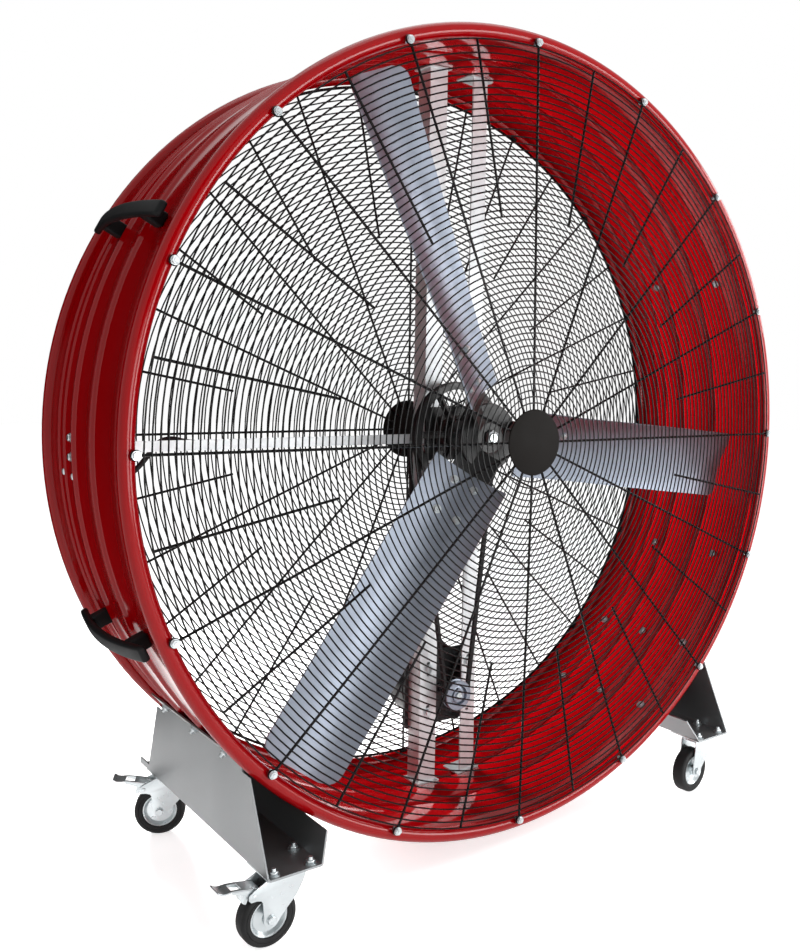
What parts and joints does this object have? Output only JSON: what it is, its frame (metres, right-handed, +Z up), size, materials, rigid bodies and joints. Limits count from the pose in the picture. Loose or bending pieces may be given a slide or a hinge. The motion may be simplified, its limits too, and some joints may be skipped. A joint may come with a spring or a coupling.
{
  "type": "drum fan",
  "caption": "Large belt-driven drum fan: a round steel drum with wire guards, sheet blades and carrying grips, on channel feet with swivel casters.",
  "frame": {"origin": "on the floor, under the middle of the drum", "axes": "+Z up, the fan axis along Y with the air leaving towards -Y, +X to the right seen from the front"},
  "size_m": [1.5998, 0.6057, 1.6319],
  "materials": {
    "drum_red": "gloss",
    "guard_black": "satin",
    "badge_black": "satin",
    "galvanised": "satin",
    "hub_black": "satin",
    "shaft_steel": "machined",
    "zinc": "bright zinc plate",
    "blade_aluminium": "mill finish",
    "motor_black": "satin",
    "pulley_silver": "cast",
    "belt_rubber": "matte",
    "cable_rubber": "matte",
    "black_nylon": "moulded",
    "grip_black": "moulded",
    "tyre_black": "matte",
    "seal_red": "moulded"
  },
  "bodies": {
    "frame": {"drum_shell": "drum_red", "front_guard": "guard_black", "rear_guard": "guard_black", "front_guard_disc": "badge_black", "rear_guard_disc": "badge_black", "front_guard_bolts": "zinc", "rear_guard_clips": "guard_black", "main_post": "galvanised", "angle_upright": "galvanised", "side_bar": "galvanised", "frame_pads": "galvanised", "bearing_plates": "hub_black", "bearings": "hub_black", "motor_plate": "hub_black", "motor_bolts": "zinc", "motor_body": "motor_black", "motor_end_bell": "motor_black", "terminal_box": "motor_black", "v_belt": "belt_rubber", "power_cable": "cable_rubber", "cable_gland": "black_nylon", "cable_clips": "black_nylon", "grip_left_upper": "grip_black", "grip_left_lower": "grip_black", "grip_right_upper": "grip_black", "grip_right_lower": "grip_black", "grip_bolts": "zinc", "frame_bolts": "zinc", "foot_left": "galvanised", "foot_right": "galvanised", "foot_bolts": "zinc", "caster_plates": "zinc", "swivel_seals": "seal_red", "caster_bolts": "zinc"},
    "rotor": {"fan_shaft": "shaft_steel", "hub_nut": "zinc", "driven_pulley": "hub_black", "hub_spider": "hub_black", "fan_blade_1": "blade_aluminium", "fan_blade_2": "blade_aluminium", "fan_blade_3": "blade_aluminium", "blade_bolts": "zinc"},
    "motor_rotor": {"motor_shaft": "shaft_steel", "motor_pulley": "pulley_silver"},
    "swivel_front_left": {"caster_fork_front_left": "zinc"},
    "wheel_front_left": {"caster_tyre_front_left": "tyre_black", "caster_rim_front_left": "zinc"},
    "pedal_front_left": {"brake_pedal_front_left": "zinc"},
    "swivel_front_right": {"caster_fork_front_right": "zinc"},
    "wheel_front_right": {"caster_tyre_front_right": "tyre_black", "caster_rim_front_right": "zinc"},
    "swivel_rear_left": {"caster_fork_rear_left": "zinc"},
    "wheel_rear_left": {"caster_tyre_rear_left": "tyre_black", "caster_rim_rear_left": "zinc"},
    "pedal_rear_left": {"brake_pedal_rear_left": "zinc"},
    "swivel_rear_right": {"caster_fork_rear_right": "zinc"},
    "wheel_rear_right": {"caster_tyre_rear_right": "tyre_black", "caster_rim_rear_right": "zinc"}
  },
  "joints": [
    {"name": "fan_spin", "type": "hinge", "parent": "frame", "child": "rotor", "pos_m": [0, 0, 0.832], "axis": [0, -1, 0], "continuous": true},
    {"name": "motor_spin", "type": "hinge", "parent": "frame", "child": "motor_rotor", "pos_m": [0.014, 0, 0.248], "axis": [0, -1, 0], "continuous": true},
    {"name": "swivel_turn_front_left", "type": "hinge", "parent": "frame", "child": "swivel_front_left", "pos_m": [-0.535, -0.245, 0.1], "axis": [0, 0, 1], "continuous": true},
    {"name": "wheel_roll_front_left", "type": "hinge", "parent": "swivel_front_left", "child": "wheel_front_left", "pos_m": [-0.567, -0.245, 0.05], "axis": [0, 1, 0], "continuous": true},
    {"name": "brake_press_front_left", "type": "hinge", "parent": "swivel_front_left", "child": "pedal_front_left", "pos_m": [-0.598, -0.245, 0.099], "axis": [0, -1, 0], "range_deg": [0, 10]},
    {"name": "swivel_turn_front_right", "type": "hinge", "parent": "frame", "child": "swivel_front_right", "pos_m": [0.535, -0.245, 0.1], "axis": [0, 0, 1], "continuous": true},
    {"name": "wheel_roll_front_right", "type": "hinge", "parent": "swivel_front_right", "child": "wheel_front_right", "pos_m": [0.50324, -0.2489, 0.05], "axis": [-0.1219, 0.9925, 0], "continuous": true},
    {"name": "swivel_turn_rear_left", "type": "hinge", "parent": "frame", "child": "swivel_rear_left", "pos_m": [-0.535, 0.245, 0.1], "axis": [0, 0, 1], "continuous": true},
    {"name": "wheel_roll_rear_left", "type": "hinge", "parent": "swivel_rear_left", "child": "wheel_rear_left", "pos_m": [-0.56376, 0.25903, 0.05], "axis": [0.4384, 0.8988, 0], "continuous": true},
    {"name": "brake_press_rear_left", "type": "hinge", "parent": "swivel_rear_left", "child": "pedal_rear_left", "pos_m": [-0.59162, 0.27262, 0.099], "axis": [-0.4384, -0.8988, 0], "range_deg": [0, 10]},
    {"name": "swivel_turn_rear_right", "type": "hinge", "parent": "frame", "child": "swivel_rear_right", "pos_m": [0.535, 0.245, 0.1], "axis": [0, 0, 1], "continuous": true},
    {"name": "wheel_roll_rear_right", "type": "hinge", "parent": "swivel_rear_right", "child": "wheel_rear_right", "pos_m": [0.5037, 0.25165, 0.05], "axis": [0.2079, 0.9781, 0], "continuous": true}
  ],
  "couplings": [
    {"joint": "motor_spin", "follows": "fan_spin", "ratio": 3.8853}
  ]
}
